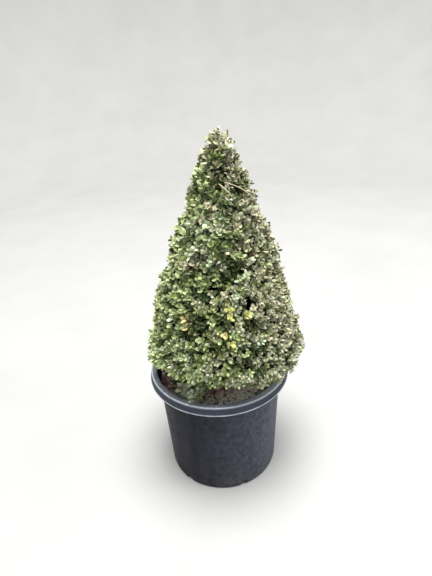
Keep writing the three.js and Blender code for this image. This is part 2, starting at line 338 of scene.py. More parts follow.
def wall_colour(paint, x, y, z, mottle, streaks):
    """Drawn streaks, a pale haze, partly dust and partly painted light, that thickens towards the lit right
    side and the front and is thinned by painted shade just under the skirt, flecks on the right, and dust low
    down.
    """
    base = paint.ramp(streaks, [(0.32, PLASTIC[0]), (0.70, PLASTIC[1])])
    # Painted light: the haze grows towards the right, where the light falls; the flecks keep to that side too
    right = paint.fade(x, -0.07, 0.12, 0.14)
    front = paint.fade(y, 0.10, -0.06, 0.25)
    # Painted shade: the haze fades out just under the skirt, where its shadow falls
    clear_of_skirt_shade = paint.fade(z, SKIRT_BOTTOM, SKIRT_BOTTOM - 0.018, 0.2)
    blotches = paint.noise(95, detail=6, roughness=0.75, stretch=(1.0, 1.0, 0.7))
    haze = paint.product(right, front, clear_of_skirt_shade, noise_share(paint, blotches, 0.34, 0.68, 0.25))
    base = paint.mix(paint.product(haze, 0.80), base, HAZE_AND_LIGHT)
    flecks = noise_share(paint, paint.noise(170, roughness=0.7), 0.64, 0.72)
    base = paint.mix(paint.product(right, flecks, 0.35), base, FLECK)
    dust = paint.product(paint.fade(z, 0.11, 0.0), noise_share(paint, mottle, 0.42, 0.75))
    return paint.mix(paint.product(dust, 0.5), base, LOW_DUST)


def rim_colour(paint, base, x, z, across, mottle):
    """The skirt, paler partly from dust and partly as painted light, the dusty lip, and along the outer edge
    of each a line that is partly rubbed and partly a painted highlight.
    """
    # Skirt: partly dust, partly painted light where it faces up
    skirt = paint.product(paint.band(z, SKIRT_BOTTOM, POT_HEIGHT, 0.002),
                          paint.band(across, LIP_OUTER_RADIUS - 0.001, SKIRT_RADIUS + 0.004, 0.001),
                          paint.math("ADD", paint.product(mottle, 0.6), 0.35))
    base = paint.mix(skirt, base, SKIRT_DUST_AND_LIGHT)
    lip = paint.band(z, POT_HEIGHT - 0.003, POT_HEIGHT + 0.003, 0.002)
    scuffs = noise_share(paint, paint.noise(150, detail=4), 0.3, 0.7, 0.4)
    base = paint.mix(paint.product(lip, scuffs), base, LIP_GRIME)
    base = paint.mix(paint.product(lip, paint.fade(x, 0.02, 0.14), 0.6), base, LIP_DUST)

    # Painted highlights and rubbed wear along the two outer edges, broken up by a noise
    rub_and_highlight_breakup = noise_share(paint, paint.noise(60), 0.3, 0.6, 0.5)
    upper = paint.product(paint.band(z, POT_HEIGHT - 0.0012, POT_HEIGHT + 0.001, 0.0006),
                          paint.band(across, LIP_OUTER_RADIUS - 0.0016, LIP_OUTER_RADIUS + 0.004, 0.0006))
    lower = paint.product(paint.band(z, SKIRT_BOTTOM - 0.002, SKIRT_BOTTOM + 0.0028, 0.0010),
                          paint.band(across, SKIRT_RADIUS - 0.0016, SKIRT_RADIUS + 0.004, 0.0006))
    base = paint.mix(paint.product(upper, rub_and_highlight_breakup, 0.95), base, UPPER_RUB_AND_HIGHLIGHT)
    return paint.mix(paint.product(lower, rub_and_highlight_breakup, 0.9), base, LOWER_RUB_AND_HIGHLIGHT)


def pot_material():
    """Charcoal plastic: faint drawn streaks, haze and dust with painted light on the right and painted shade
    under the skirt, a dusty lip, and edges partly rubbed and partly painted with highlights.
    """
    paint = Paint("pot_plastic", roughness=0.5, specular=0.08)
    x, y, z = paint.node("ShaderNodeSeparateXYZ", {"Vector": paint.place}).outputs
    across = paint.math("SQRT", paint.math("ADD", paint.product(x, x), paint.product(y, y)))
    streaks = paint.noise(60, detail=4, stretch=(1.0, 1.0, 0.10))
    mottle = paint.noise(22, detail=5, roughness=0.65)
    base = wall_colour(paint, x, y, z, mottle, streaks)
    paint.colour(rim_colour(paint, base, x, z, across, mottle))
    paint.rough(paint.math("ADD", paint.product(mottle, 0.3), 0.34))
    paint.bump(paint.math("ADD", streaks, paint.product(paint.noise(420, detail=2), 0.2)), 0.0006, 0.5)
    return paint.material


def floor_material():
    paint = Paint("stage_floor", roughness=0.9, specular=0.1)
    grain = paint.noise(3.0, detail=2)
    paint.colour(paint.ramp(grain, [(0.3, (0.34, 0.34, 0.337)), (0.7, (0.36, 0.36, 0.357))]))
    return paint.material


# Camera, stage and light

def add_camera():
    data = bpy.data.cameras.new("camera")
    data.sensor_width = SENSOR
    data.sensor_height = SENSOR
    data.lens = FOCAL_PIXELS / PHOTO_HEIGHT * SENSOR
    data.clip_start = 0.02
    data.clip_end = 60
    camera = link("camera", data)
    turn = (Matrix.Rotation(math.radians(CAMERA_YAW), 4, "Z")
            @ Matrix.Rotation(math.radians(90 - CAMERA_PITCH), 4, "X")
            @ Matrix.Rotation(math.radians(-CAMERA_ROLL), 4, "Z"))
    camera.matrix_world = Matrix.Translation(CAMERA_PLACE) @ turn
    bpy.context.scene.camera = camera


def add_area_light(name, place, size, power, colour):
    """A round soft light that faces the middle of the crown."""
    data = bpy.data.lights.new(name, "AREA")
    data.shape = "DISK"
    data.size = size
    data.energy = power
    data.color = colour
    light = link(name, data)
    light.location = place
    light.rotation_euler = (Vector(place) - Vector(LIGHTS_AIM)).to_track_quat("Z", "Y").to_euler()


def add_stage():
    """A pale floor that curves up into a round backdrop, open to a soft even sky."""
    flat, height, bend = 3.2, 4.0, 1.8
    profile = [(0.0, 0.0), (1.0, 0.0), (2.0, 0.0)]
    profile += arc((flat, bend), bend, -90, 0, 9) + [(flat + bend, height)]
    vertices, faces = revolve(profile, segments=72)
    stage = new_object("stage_floor", mesh_from_arrays("stage_floor", vertices, faces), floor_material())

    world = bpy.data.worlds.new("sky")
    world.use_nodes = True
    background = world.node_tree.nodes["Background"]
    background.inputs["Color"].default_value = (0.95, 0.975, 1.0, 1)
    background.inputs["Strength"].default_value = 0.48
    bpy.context.scene.world = world
    add_area_light("sky_panel", (0.2, -0.4, 7.0), size=4.6, power=1250, colour=(1.0, 0.99, 0.97))
    add_area_light("side_panel", (2.2, -0.6, 1.9), size=1.2, power=20, colour=(0.93, 0.96, 1.0))
    bpy.context.scene.view_settings.view_transform = "Standard"
    bpy.context.scene.view_settings.look = "None"


# Revolved and swept shapes

def tube_faces(tubes, steps, sides):
    """Quads between the neighbouring rings of tubes that each have so many rings and sides."""
    tube, step, corner = np.meshgrid(
        np.arange(tubes), np.arange(steps - 1), np.arange(sides), indexing="ij")
    first = (tube * steps + step) * sides
    after = (corner + 1) % sides
    faces = np.stack([first + corner, first + after, first + sides + after, first + sides + corner], axis=-1)
    return faces.reshape(-1, 4)


def revolve(profile, segments):
    """Corners and quads of a profile of (radius, height) points turned about Z."""
    radius, height = np.array(profile).T[:, :, None]
    angle = np.linspace(0, math.tau, segments, endpoint=False)
    places = np.broadcast_arrays(radius * np.cos(angle), radius * np.sin(angle), height)
    return np.stack(places, axis=-1).reshape(-1, 3), tube_faces(1, len(profile), segments)


def sweep(paths, radii, sides, relief=None):
    """Tubes along many paths at once. paths is (tubes, steps, 3) and radii is (tubes, steps)."""
    tubes, steps, _ = paths.shape
    along = unit(np.gradient(paths, axis=1))
    guide = np.where(np.abs(along[..., 2:3]) < 0.9, [0.0, 0.0, 1.0], [1.0, 0.0, 0.0])
    across = unit(np.cross(guide, along))
    side = np.cross(along, across)
    angle = np.linspace(0, math.tau, sides, endpoint=False)
    ring = across[:, :, None] * np.cos(angle)[:, None] + side[:, :, None] * np.sin(angle)[:, None]
    away = radii[:, :, None, None] * (1.0 if relief is None else relief[..., None])
    return (paths[:, :, None] + ring * away).reshape(-1, 3), tube_faces(tubes, steps, sides)


def bezier(start, middle, end, steps):
    """Many quadratic curves at once, as (curves, steps, 3)."""
    t = np.linspace(0, 1, steps)[None, :, None]
    return (1 - t) ** 2 * start[:, None] + 2 * t * (1 - t) * middle[:, None] + t ** 2 * end[:, None]


def close_rims(mesh):
    """Fills the open ends of swept tubes and joins doubled points."""
    work = bmesh.new()
    work.from_mesh(mesh)
    bmesh.ops.remove_doubles(work, verts=work.verts, dist=1e-6)
    rims = [e for e in work.edges if e.is_boundary]
    bmesh.ops.holes_fill(work, edges=rims, sides=0)
    bmesh.ops.recalc_face_normals(work, faces=work.faces)
    work.to_mesh(mesh)
    work.free()


def closed_piece(name, vertices, faces, material):
    mesh = mesh_from_arrays(name, vertices, faces)
    close_rims(mesh)
    return new_object(name, mesh, material)


# The pot

def wall_radius(z):
    return POT_FOOT_RADIUS + (POT_WALL_TOP_RADIUS - POT_FOOT_RADIUS) * z / SKIRT_BOTTOM


def arc(centre, radius, start, end, steps):
    """Points on an arc of the profile, in degrees from the outward direction."""
    angles = np.radians(np.linspace(start, end, steps))
    return [(centre[0] + radius * math.cos(a), centre[1] + radius * math.sin(a)) for a in angles]


def pot_profile():
    """The moulding's section, from the middle of its underside round the rim to the middle of its floor."""
    foot_bend = 0.006
    hem = 0.0011
    lip_bend = 0.0015
    ledge = 0.0044
    ledge_top = POT_HEIGHT - 0.015
    ledge_bottom = ledge_top - ledge
    wall_outer = wall_radius(ledge_bottom)
    lip_under = POT_HEIGHT - 0.0034
    lip_top = POT_HEIGHT - 0.0003
    outside = [(0.0, 0.0), (0.05, 0.0), (0.1, 0.0), (0.125, 0.0)]
    outside += arc((POT_FOOT_RADIUS - foot_bend, foot_bend), foot_bend, -90, 0, 7)
    outside += [(wall_radius(z), z) for z in np.linspace(0.02, ledge_bottom, 16)]
    under_rim = [
        (wall_outer + ledge, ledge_top),
        (LIP_INNER_RADIUS + 0.0022, lip_under),
        (LIP_OUTER_RADIUS - 0.0028, lip_under),
        (SKIRT_RADIUS - POT_WALL - 0.0002, SKIRT_BOTTOM + 0.004),
    ]
    rim = arc((SKIRT_RADIUS - hem - 0.0002, SKIRT_BOTTOM + hem), hem * 1.15, -200, 35, 9)
    rim += [
        (SKIRT_RADIUS - 0.0007, SKIRT_BOTTOM + 0.0038),
        (SKIRT_RADIUS - 0.0020, SKIRT_BOTTOM + 0.009),
        (SKIRT_RADIUS - 0.0034, SKIRT_BOTTOM + 0.0155),
    ]
    rim += arc((LIP_OUTER_RADIUS - 0.0006, POT_HEIGHT - lip_bend), lip_bend, 10, 90, 6)
    rim += [(LIP_OUTER_RADIUS - 0.005, lip_top), (LIP_INNER_RADIUS + 0.004, lip_top)]
    rim += arc((LIP_INNER_RADIUS + 0.0014, POT_HEIGHT - 0.0016), lip_bend, 90, 180, 5)
    inside = [(wall_outer + ledge - POT_WALL, ledge_top), (wall_outer - POT_WALL, ledge_bottom)]
    inside += [(wall_radius(z) - POT_WALL, z) for z in np.linspace(ledge_bottom - 0.02, 0.012, 8)]
    inside += [(r, POT_FLOOR) for r in (POT_FOOT_RADIUS - 0.012, 0.1, 0.05, 0.0)]
    return outside + under_rim + rim + inside


def cut_drain_holes(piece):
    """Round holes drilled inwards across the corner between wall and underside."""
    for i in range(DRAIN_COUNT):
        azimuth = math.radians(DRAIN_FIRST_AZIMUTH + 360 / DRAIN_COUNT * i)
        outward = Vector((math.cos(azimuth), math.sin(azimuth), 0))
        middle = outward * (POT_FOOT_RADIUS - DRAIN_INSET) + Vector((0, 0, DRAIN_RISE))
        aim = outward.to_track_quat("Z", "Y").to_matrix().to_4x4()
        bpy.ops.mesh.primitive_cylinder_add(vertices=28, radius=DRAIN_RADIUS, depth=DRAIN_DEPTH)
        cutter = bpy.context.active_object
        cutter.matrix_world = Matrix.Translation(middle) @ aim
        cut = piece.modifiers.new("cut", "BOOLEAN")
        cut.object = cutter
        cut.solver = "EXACT"
        bpy.context.view_layer.update()
        with bpy.context.temp_override(object=piece, active_object=piece):
            bpy.ops.object.modifier_apply(modifier="cut")
        bpy.data.objects.remove(cutter)


def make_pot():
    piece = closed_piece("pot_moulding", *revolve(pot_profile(), POT_SEGMENTS), pot_material())
    cut_drain_holes(piece)
    settle(piece, "pot", "pot_wall", "pot_rim")


# Soil and bark mulch

def soil_height(points):
    """Height of the mulch under points: gently uneven, but calm and a little lower at the stem's foot."""
    away = np.linalg.norm(points[:, :2] - STEM_FOOT, axis=1)
    calm = ease(0.02, 0.06, away)
    flat = points * [1, 1, 0]
    rough = 0.0022 * waves(flat, 0.045, 3) + 0.0012 * waves(flat, 0.016, 4)
    return SOIL_HEIGHT + calm * rough - 0.002 * (1 - calm)


def on_mulch(radius, azimuth, lift):
    """Places a little above the mulch."""
    places = np.column_stack([radius * np.cos(azimuth), radius * np.sin(azimuth), np.zeros(len(radius))])
    places[:, 2] = soil_height(places) + lift
    return places


def make_soil():
    bottom = POT_FLOOR + 0.0004
    low = wall_radius(0.01) - POT_WALL - 0.0006
    edge = wall_radius(SOIL_HEIGHT) - POT_WALL - 0.0002
    profile = [(0.0, bottom), (low - 0.006, bottom), (low, 0.01)]
    profile += [(r, SOIL_HEIGHT) for r in np.linspace(edge, 0, SOIL_RINGS)]
    vertices, faces = revolve(profile, SOIL_SEGMENTS)
    top = vertices[:, 2] > SOIL_HEIGHT - 1e-6
    vertices[top, 2] = soil_height(vertices[top])
    material = mulch_material("soil_mix", (0.085, 0.056, 0.046), (0.27, 0.180, 0.148))
    settle(closed_piece("root_ball_soil", vertices, faces, material), "soil", "root_ball")


# The outline of a bark chip, from -1 to 1 along and across it
CHIP = np.array([
    [-1.0, -0.35, 0], [-0.55, -0.9, 0], [0.5, -1.0, 0], [1.0, -0.3, 0],
    [0.8, 0.6, 0], [0.1, 1.0, 0], [-0.8, 0.7, 0]])
CHIP_THICKNESS = (0.0008, 0.0024)
CHIP_LIFT = (0.0004, 0.0042)
CHIP_TILT = 0.28
CHIP_TAPER = 0.88
LITTER_LIFT = (0.0045, 0.0080)
# Kinds of bark chip: how many, how long at most, and the darker and the lighter colour; the colours are far
# paler than bark, partly the chips' own browns and partly painted light against the crown's shade
CHIP_KINDS = {
    "dark": (760, 0.030, (0.30, 0.185, 0.155), (0.92, 0.63, 0.535)),
    "brown": (860, 0.026, (0.80, 0.55, 0.47), (1.0, 0.80, 0.70)),
    "grey": (240, 0.020, (0.55, 0.48, 0.41), (0.90, 0.82, 0.72)),
}
# Kinds of shed leaf: how many, colour and roughness; the colours are far paler than shed leaves, partly their
# own tan and olive and partly painted light against the crown's shade
LITTER_KINDS = {"tan": (270, (0.96, 0.83, 0.68), 0.7), "olive": (210, (0.80, 0.84, 0.68), 0.6)}


def chip_faces(count):
    """Triangles of many plates that each have a ring of lower corners, then a ring of upper ones."""
    corners = len(CHIP)
    floor = [(0, k + 1, k) for k in range(1, corners - 1)]
    lid = [(corners, corners + k, corners + k + 1) for k in range(1, corners - 1)]
    walls = []
    for k in range(corners):
        after = (k + 1) % corners
        walls += [(k, after, corners + after), (k, corners + after, corners + k)]
    pattern = np.array(floor + lid + walls)
    return (pattern[None] + (np.arange(count) * corners * 2)[:, None, None]).reshape(-1, 3)


def make_chips(name, count, material, size):
    """Flat broken bark chips, each a seven-sided plate of its own outline."""
    soil_radius = wall_radius(SOIL_HEIGHT) - POT_WALL
    length = rng.uniform(0.35, 1.0, count) ** 1.5 * size
    width = length * rng.uniform(0.22, 0.6, count)
    thick = rng.uniform(*CHIP_THICKNESS, count)
    radius = np.sqrt(rng.uniform(0, 1, count)) * (soil_radius - 0.004)
    azimuth = rng.uniform(0, math.tau, count)
    reach = np.maximum(soil_radius - 0.001 - radius, 0.002)
    length = np.minimum(length, reach * 1.4 + 0.003)
    centre = on_mulch(radius, azimuth, rng.uniform(*CHIP_LIFT, count))

    outline = CHIP[None] * rng.uniform(0.75, 1.2, (count, len(CHIP), 1))
    outline = outline * np.stack([length / 2, width / 2, np.zeros(count)], axis=-1)[:, None]
    bend = rng.uniform(-0.5, 0.5, count)[:, None]
    curl = outline[..., 0] ** 2 / np.maximum(length, 1e-6)[:, None] * bend
    low = outline.copy()
    high = outline * CHIP_TAPER
    low[..., 2] = curl - thick[:, None] / 2
    high[..., 2] = curl + thick[:, None] / 2
    solid = np.concatenate([low, high], axis=1)

    spin = rng.uniform(0, math.tau, count)
    tilt = rng.normal(0, CHIP_TILT, count)
    roll = rng.normal(0, CHIP_TILT, count)
    turned = np.empty_like(solid)
    for i in range(count):
        turn = (Matrix.Rotation(spin[i], 3, "Z")
                @ Matrix.Rotation(tilt[i], 3, "X")
                @ Matrix.Rotation(roll[i], 3, "Y"))
        turned[i] = solid[i] @ np.array(turn).T + centre[i]
    mesh = mesh_from_arrays(name, turned.reshape(-1, 3), chip_faces(count), smooth=False)
    settle(new_object(name, mesh, material), "soil", "root_ball")


def make_litter(name, count, material):
    """Shed leaves that lie flat on the mulch, most of them in front and to the right."""
    azimuth = np.radians(rng.normal(-62, 42, count))
    radius = (wall_radius(SOIL_HEIGHT) - POT_WALL - 0.009) * rng.uniform(0.45, 1.0, count) ** 0.5
    centre = on_mulch(radius, azimuth, rng.uniform(*LITTER_LIFT, count))
    spin = rng.uniform(0, math.tau, count)
    direction = np.column_stack([np.cos(spin), np.sin(spin), rng.normal(0, 0.18, count)])
    normal = unit(np.array([0, 0, 1.0]) + rng.normal(0, 0.22, (count, 3)))
    direction = unit(direction - normal * np.sum(direction * normal, axis=1, keepdims=True))
    size = LEAF_LENGTH * rng.uniform(0.4, 0.75, (count, 1))
    mesh = leaf_mesh(name, centre - direction * size / 2, direction, normal, size)
    settle(new_object(name, mesh, material), "soil", "root_ball")


def make_mulch():
    for kind, (count, size, dark, light) in CHIP_KINDS.items():
        make_chips("bark_chips_" + kind, count, mulch_material("chips_" + kind, dark, light), size)
    for kind, (count, colour, roughness) in LITTER_KINDS.items():
        make_litter("fallen_leaves_" + kind, count, leaf_material("leaf_fallen_" + kind, colour, roughness))


# The woody limbs

STEM_SIDES, STEM_STEPS = 40, 150
BOUGH_SIDES, BOUGH_STEPS = 24, 40
BOUGH_RADII = (0.0066, 0.0033)


def node_points(name):
    """The corners of a CAD node."""
    mesh = frame["nodes"][name].data
    places = np.empty(len(mesh.vertices) * 3)
    mesh.vertices.foreach_get("co", places)
    return places.reshape(-1, 3)


def stem_sections():
    """Centre and radius of each ring of the stem's solid, from the foot up."""
    points = node_points("stem")
    rows = []
    for z in np.unique(np.round(points[:, 2], 5)):
        ring = points[np.abs(points[:, 2] - z) < 2e-5]
        centre = (ring.min(axis=0) + ring.max(axis=0)) / 2
        away = np.linalg.norm(ring[:, :2] - centre[:2], axis=1)
        rows.append([centre[0], centre[1], z, away.max()])
    return np.array(rows)


def bough_curve(name, stem):
    """The curve through a bough's solid: its start on the stem's axis, its control point and its end."""
    points = node_points(name)
    foot = points[np.argmin(points[:, 2])]
    away = np.linalg.norm(points[:, :2] - stem[0, :2], axis=1)
    end = points[away > away.max() - 0.004].mean(axis=0)
    middle_away = (away.min() + away.max()) / 2
    middle = points[np.abs(away - middle_away) < 0.011].mean(axis=0)
    start = axis_at(stem, foot[2:])[0] + [0, 0, 0.003]
    return start, middle * 2 - (start + end) / 2, end


def bark_relief(steps, sides, depth, seed):
    """Lengthwise fissures and knots round one limb, as shares of its radius."""
    own = np.random.default_rng(seed)
    angle = np.linspace(0, math.tau, sides, endpoint=False)[None, None]
    along = np.linspace(0, 1, steps)[None, :, None] * 9
    relief = np.ones((1, steps, sides))
    for waves_round, share in ((3, 0.8), (5, 0.6), (8, 0.7), (13, 0.45)):
        phase = own.uniform(0, math.tau)
        drift = own.uniform(-1.2, 1.2)
        relief += depth * share * np.sin(waves_round * angle + drift * along + phase)
    return relief + own.normal(0, depth * 0.35, relief.shape)


def make_limbs():
    material = bark_material("bark_old", (0.085, 0.066, 0.045), (0.30, 0.245, 0.17))
    stem = stem_sections()
    heights = stem[0, 2] + (stem[-1, 2] - stem[0, 2]) * np.linspace(0, 1, STEM_STEPS) ** 1.6
    path = axis_at(stem, heights)
    radii = np.interp(heights, stem[:, 2], stem[:, 3]) * 0.93
    relief = bark_relief(STEM_STEPS, STEM_SIDES, 0.035, 5)
    tube = sweep(path[None], radii[None], STEM_SIDES, relief)
    settle(closed_piece("stem_bark", *tube, material), "bark", "stem")

    curves = np.array([bough_curve(name, stem) for name in BOUGHS]).transpose(1, 0, 2)
    radii = np.linspace(*BOUGH_RADII, BOUGH_STEPS)[None]
    for number, (name, path) in enumerate(zip(BOUGHS, bezier(*curves, BOUGH_STEPS))):
        relief = bark_relief(BOUGH_STEPS, BOUGH_SIDES, 0.04, 30 + number)
        tube = sweep(path[None], radii, BOUGH_SIDES, relief)
        settle(closed_piece(name + "_bark", *tube, material), "bark", name)
    return stem, bezier(*curves, 14)


# Where the crown's surface is

def crown_solids():
    """Corners, triangles and owners of every mass and limb, and a search tree of them all."""
    vertices, faces, owners = [], [], []
    count = 0
    for name in MASSES + LIMBS:
        mesh = frame["nodes"][name].data
        mesh.calc_loop_triangles()
        triangles = np.array([t.vertices for t in mesh.loop_triangles])
        vertices.append(node_points(name))
        faces.append(triangles + count)
        owners += [name] * len(triangles)
        count += len(mesh.vertices)
    vertices = np.concatenate(vertices)
    faces = np.concatenate(faces)
    return vertices, faces, owners, BVHTree.FromPolygons(vertices.tolist(), faces.tolist())


def surface_points():
    """Evenly spread points on the outside of the crown, with their outward directions and masses."""
    vertices, faces, owners, tree = crown_solids()
    leafy = np.array([owner in MASSES for owner in owners])
    a, b, c = (vertices[faces[:, k]] for k in range(3))
    cross = np.cross(b - a, c - a)
    area = np.linalg.norm(cross, axis=1) / 2 * leafy
    tries = SPRAY_COUNT * 7
    pick = rng.choice(len(faces), size=tries, p=area / area.sum())
    shares = rng.uniform(0, 1, (2, len(pick), 1))
    u, v = np.where(shares.sum(axis=0) > 1, 1 - shares, shares)
    places = a[pick] + u * (b - a)[pick] + v * (c - a)[pick]
    normals = unit(cross)[pick]
    kept, outward, owner = [], [], []
    near = {}
    neighbours = [(i, j, k) for i in (-1, 0, 1) for j in (-1, 0, 1) for k in (-1, 0, 1)]
    for place, normal, face in zip(places, normals, pick):
        cell = tuple(np.floor(place / SPRAY_SPACING).astype(int))
        around = [near.get((cell[0] + i, cell[1] + j, cell[2] + k), ()) for i, j, k in neighbours]
        if any(np.sum((place - other) ** 2) < SPRAY_SPACING ** 2 for group in around for other in group):
            continue
        blocked = tree.ray_cast(Vector(place + normal * 1e-4), Vector(normal), SPRAY_CLEARANCE)[0]
        if blocked is not None:
            continue
        near.setdefault(cell, []).append(place)
        kept.append(place)
        outward.append(normal)
        owner.append(owners[face])
        if len(kept) == SPRAY_COUNT:
            break
    return np.array(kept), np.array(outward), np.array(owner)


# Growth: limbs, then branches, branchlets and sprays, each from the nearest wood below it

# For each order: the most there may be, their spacing, how deep their ends lie and the least share of the
# way from the axis, reach, rise and rings, then thick end, thin end and sides, and last the ring of theirs
# and the rung of the stem from which the next order may grow
ORDERS = {
    "branches": (150, 0.046, 0.085, 0.35, 0.09, 0.75, 12, (0.0034, 0.0017, 8), 3, 80),
    "branchlets": (1000, 0.0175, 0.045, 0.50, 0.05, 0.60, 8, (0.0017, 0.0010, 5), 2, 120),
}
STEM_RUNGS = 160
BOW = 0.2


def attach(targets, wood, reach, rise, stem):
    """For each target, the place on the wood that a shoot of about that reach and rise would leave from."""
    from_axis = np.linalg.norm(wood - axis_at(stem, wood[:, 2]), axis=1)
    places = []
    for part in np.array_split(targets, len(targets) // 200 + 1):
        away = np.linalg.norm(part[:, None] - wood[None], axis=2)
        climb = part[:, None, 2] - wood[None, :, 2]
        outwards = np.linalg.norm(part - axis_at(stem, part[:, 2]), axis=1)[:, None] - from_axis[None]
        cost = (np.abs(away - reach) + np.maximum(rise * away - climb, 0)
                + np.maximum(0.5 * away - outwards, 0))
        places.append(wood[cost.argmin(axis=1)])
    return np.concatenate(places)


def grow(targets, outward, wood, reach, rise, stem, steps):
    """Shoots from the wood to the targets, which set off outwards and turn up."""
    start = attach(targets, wood, reach, rise, stem)
    length = np.linalg.norm(targets - start, axis=1, keepdims=True)
    along = unit(targets - start)
    lift = unit(outward + [0, 0, 0.6] + rng.normal(0, 0.18, targets.shape))
    middle = start + along * length * 0.5 + (along - lift) * length * BOW
    return bezier(start, middle, targets, steps)


def axis_at(stem, z):
    """Places on the stem's axis at heights."""
    return np.column_stack([np.interp(z, stem[:, 2], stem[:, 0]), np.interp(z, stem[:, 2], stem[:, 1]), z])


def spread(points, count, spacing):
    """Picks up to count points that lie at least spacing apart."""
    order = rng.permutation(len(points))
    kept = []
    for index in order:
        if all(np.sum((points[index] - points[other]) ** 2) > spacing ** 2 for other in kept):
            kept.append(index)
            if len(kept) == count:
                break
    return np.array(kept)


def shoot_mesh(name, paths, thick, thin, sides, material):
    """Tapered tubes along the paths, joined in one piece, each a little thicker or thinner."""
    steps = paths.shape[1]
    radii = np.linspace(thick, thin, steps)[None] * rng.uniform(0.8, 1.2, (len(paths), 1))
    settle(closed_piece(name, *sweep(paths, radii, sides), material), "bark", *MASSES)


def below(tips, centre, depth, least):
    """Places under the tips, towards the axis, that keep the least share of the way from it."""
    inward = centre - tips
    length = np.linalg.norm(inward, axis=1, keepdims=True)
    return tips + inward * np.minimum(depth / np.maximum(length, 1e-6), 1 - least)


def grow_wood(stem, boughs, tips, outward):
    """Branches, branchlets and shoots towards the tips. Returns the paths of the shoots."""
    centre = axis_at(stem, np.clip(tips[:, 2], stem[0, 2] + 0.03, stem[-1, 2]))
    twig_bark = bark_material("bark_twig", (0.10, 0.075, 0.045), (0.30, 0.24, 0.15), grain=2.0)
    green_bark = bark_material("bark_shoot", (0.10, 0.10, 0.04), (0.28, 0.26, 0.13), grain=3.0)

    ladder = stem[0, 2] + 0.02 + (stem[-1, 2] - stem[0, 2] - 0.02) * np.linspace(0, 1, STEM_RUNGS)
    wood = np.concatenate([axis_at(stem, ladder), boughs[:, 3:].reshape(-1, 3)])
    for name, (count, spacing, depth, least, reach, rise, steps, size, ring, rung) in ORDERS.items():
        chosen = spread(tips, count, spacing)
        ends = below(tips[chosen], centre[chosen], depth, least)
        limbs = grow(ends, outward[chosen], wood, reach, rise, stem, steps)
        shoot_mesh(name, limbs, *size, twig_bark)
        wood = np.concatenate([limbs[:, ring:].reshape(-1, 3), axis_at(stem, ladder[rung:])])
    shoots = grow(tips, outward, wood, 0.055, 0.5, stem, 9)
    shoot_mesh("shoots", shoots, 0.0010, 0.0005, 3, green_bark)
    return shoots


def make_bare_twigs(tips, outward):
    """Clipped twig ends, pale and woody, most of them on the right and near the top, and the bare twigs."""
    azimuth = azimuth_of(tips)
    chance = 0.025 + 0.34 * facing(azimuth, -15) ** 2 + 0.08 * ease(0.55, 0.8, tips[:, 2])
    chosen = np.flatnonzero((rng.uniform(0, 1, len(tips)) < chance) & (tips[:, 2] > 0.37))
    count = len(chosen)
    direction = unit(outward[chosen] * 0.5 + [0, 0, 0.6] + rng.normal(0, 0.6, (count, 3)))
    start = tips[chosen] - outward[chosen] * 0.012
    end = tips[chosen] + direction * rng.uniform(-0.004, 0.013, (count, 1))
    middle = (start + end) / 2 + rng.normal(0, 0.002, (count, 3))
    wood = bark_material("bark_cut", (0.33, 0.28, 0.19), (0.60, 0.53, 0.38), grain=2.0)
    shoot_mesh("cut_twigs", bezier(start, middle, end, 6), 0.0011, 0.0008, 5, wood)
    start, middle, end = np.array(BARE_TWIGS).transpose(1, 0, 2)
    shoot_mesh("bare_twigs", bezier(start, middle, end, 24), 0.0012, 0.0006, 6, wood)


# Leaves

# A leaf's points, along from its stalk, across and up: stalk, midrib and tip, then each edge
LEAF = np.array([
    [0.00, 0.00, 0.000],
    [0.30, 0.00, 0.030], [0.70, 0.00, 0.020], [1.00, 0.00, -0.060],
    [0.14, 0.26, 0.000], [0.46, 0.50, -0.045], [0.80, 0.36, -0.070],
    [0.14, -0.26, 0.000], [0.46, -0.50, -0.045], [0.80, -0.36, -0.070]])
LEAF_FACES = np.array([
    [0, 1, 4], [4, 1, 5], [5, 1, 2], [5, 2, 6], [6, 2, 3],
    [0, 7, 1], [7, 8, 1], [8, 2, 1], [8, 9, 2], [9, 3, 2]])

# Plain leaf colours: shaded ones, partly older darker leaves and partly painted shade, the fresh greens of
# the left side, the olive and grey-greens of the front and right, pale blue-greens that are partly painted
# highlights, a grey-green painted light for the low spray, and bronzed and yellow leaves
TINTS = {
    "shade": (0.030, 0.043, 0.015),
    "inner": (0.041, 0.058, 0.022),
    "deep": (0.047, 0.066, 0.028),
    "leaf": (0.172, 0.216, 0.072),
    "fresh": (0.288, 0.348, 0.162),
    "light": (0.405, 0.460, 0.240),
    # Pale blue-green, partly the leaves' own and partly painted highlights
    "mint_and_highlight": (0.370, 0.450, 0.290),
    "olive": (0.132, 0.148, 0.060),
    # Grey-green of the low spray, brightened as painted light against the crown's shade
    "grey_green_painted_lit": (0.430, 0.490, 0.350),
    "grey": (0.250, 0.268, 0.157),
    "pale": (0.350, 0.362, 0.258),
    "bronze": (0.420, 0.393, 0.262),
    "yellow": (0.470, 0.475, 0.165),
    "amber": (0.560, 0.480, 0.210),
}
NAMES = list(TINTS)
# Gloss of the shaded leaves, which is less than the others'
DULL = {"shade": 0.04, "inner": 0.04, "deep": 0.04}
# The share of leaves that turn to another tint, and which one
TURNED_SHARE = 0.30
NEIGHBOURS = {
    "deep": "olive", "leaf": "fresh", "fresh": "leaf", "light": "fresh", "mint_and_highlight": "fresh",
    "olive": "grey", "grey_green_painted_lit": "grey", "grey": "pale", "pale": "olive", "bronze": "grey",
    "yellow": "fresh", "amber": "fresh",
}
# Sprays of these tints turn less often, by this share
STEADY = {"deep": 0.15, "yellow": 0.25, "amber": 0.25}
# How the low spray's tints are dealt; its bright grey-green is painted light against the crown's shade
LOW_SPRAY_TINTS = {"deep": 0.26, "leaf": 0.12, "mint_and_highlight": 0.22, "grey_green_painted_lit": 0.95, "grey": 0.10}
